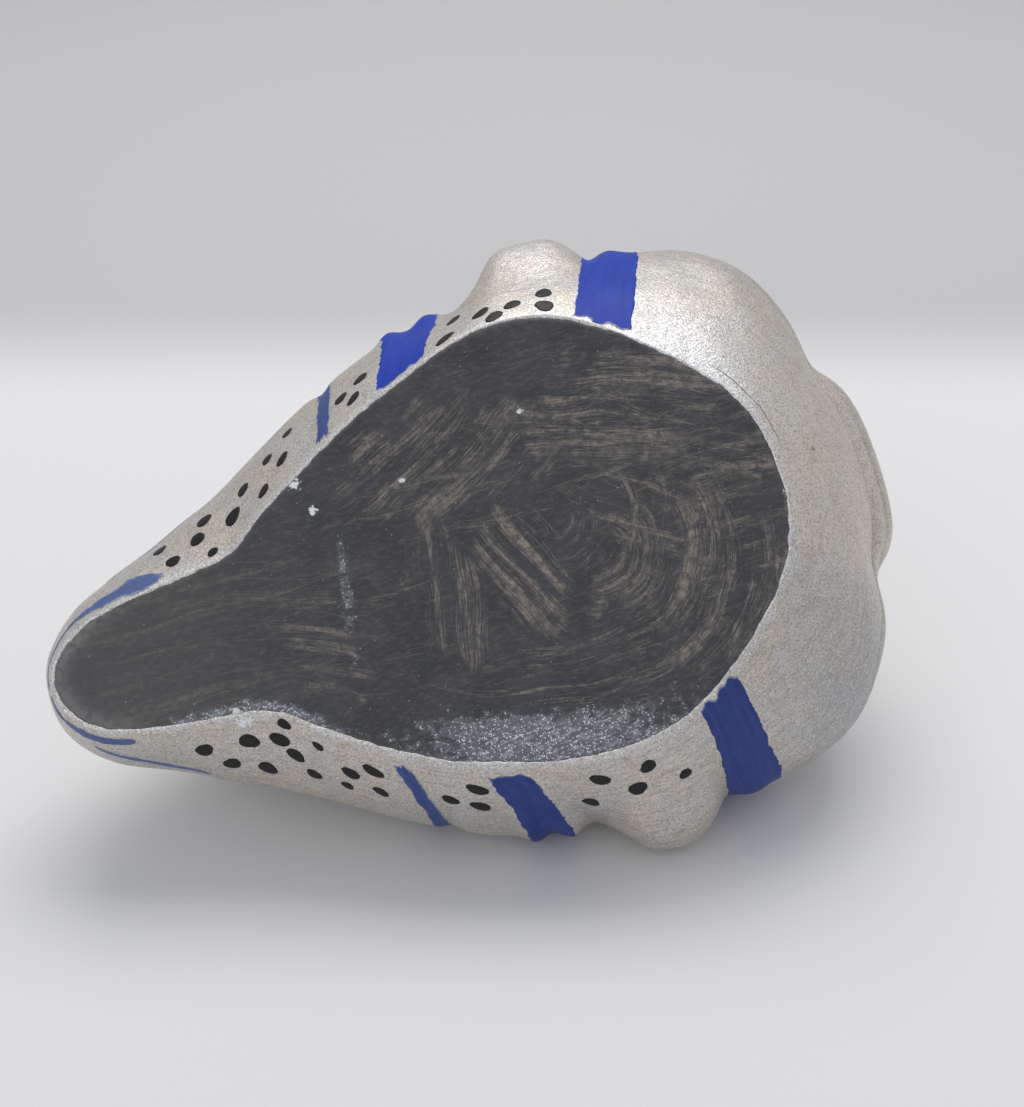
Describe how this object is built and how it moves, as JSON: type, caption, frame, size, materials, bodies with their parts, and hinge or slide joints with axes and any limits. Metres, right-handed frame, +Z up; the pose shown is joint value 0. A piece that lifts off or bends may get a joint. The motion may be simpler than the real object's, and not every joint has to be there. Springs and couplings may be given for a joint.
{
  "type": "carved goalie mask model",
  "caption": "Small solid carved goalie mask with a flat dark back, ribbed silver flanks, blue painted stripes and rows of black painted vent dots, lying on its side.",
  "frame": {"origin": "centre of the floor under the mask as it lies on its right flank, on the floor", "axes": "+Z up from the floor, +X along the lying mask from the chin towards the forehead, the flat back faces -Y and up"},
  "size_m": [0.0838, 0.0506, 0.0481],
  "materials": {
    "silver_paint": "carved wood under a brushed champagne-silver metallic paint with fine sparkle, worn a little on the ribs",
    "charcoal_board": "flat charcoal paint, dry-brushed and scuffed so that tan wood shows in arcs",
    "blue_paint": "hand-brushed cobalt blue acrylic paint, satin, streaked at the ends of each stroke",
    "black_paint": "glossy black acrylic paint in small dabs"
  },
  "bodies": {
    "root": {"back_board": "charcoal_board", "carved_body": "silver_paint", "cheek_dots_left": "black_paint", "cheek_dots_right": "black_paint", "cheek_stripe_left": "blue_paint", "cheek_stripe_right": "blue_paint", "chin_dots_left": "black_paint", "chin_dots_right": "black_paint", "chin_line_left": "blue_paint", "chin_line_right": "blue_paint", "chin_stroke": "blue_paint", "eye_left": "black_paint", "eye_right": "black_paint", "forehead_dots": "black_paint", "jaw_dots_left": "black_paint", "jaw_dots_right": "black_paint", "jaw_stripe_left": "blue_paint", "jaw_stripe_right": "blue_paint", "mouth_bars": "black_paint", "temple_stripe_left": "blue_paint", "temple_stripe_right": "blue_paint"}
  },
  "joints": []
}
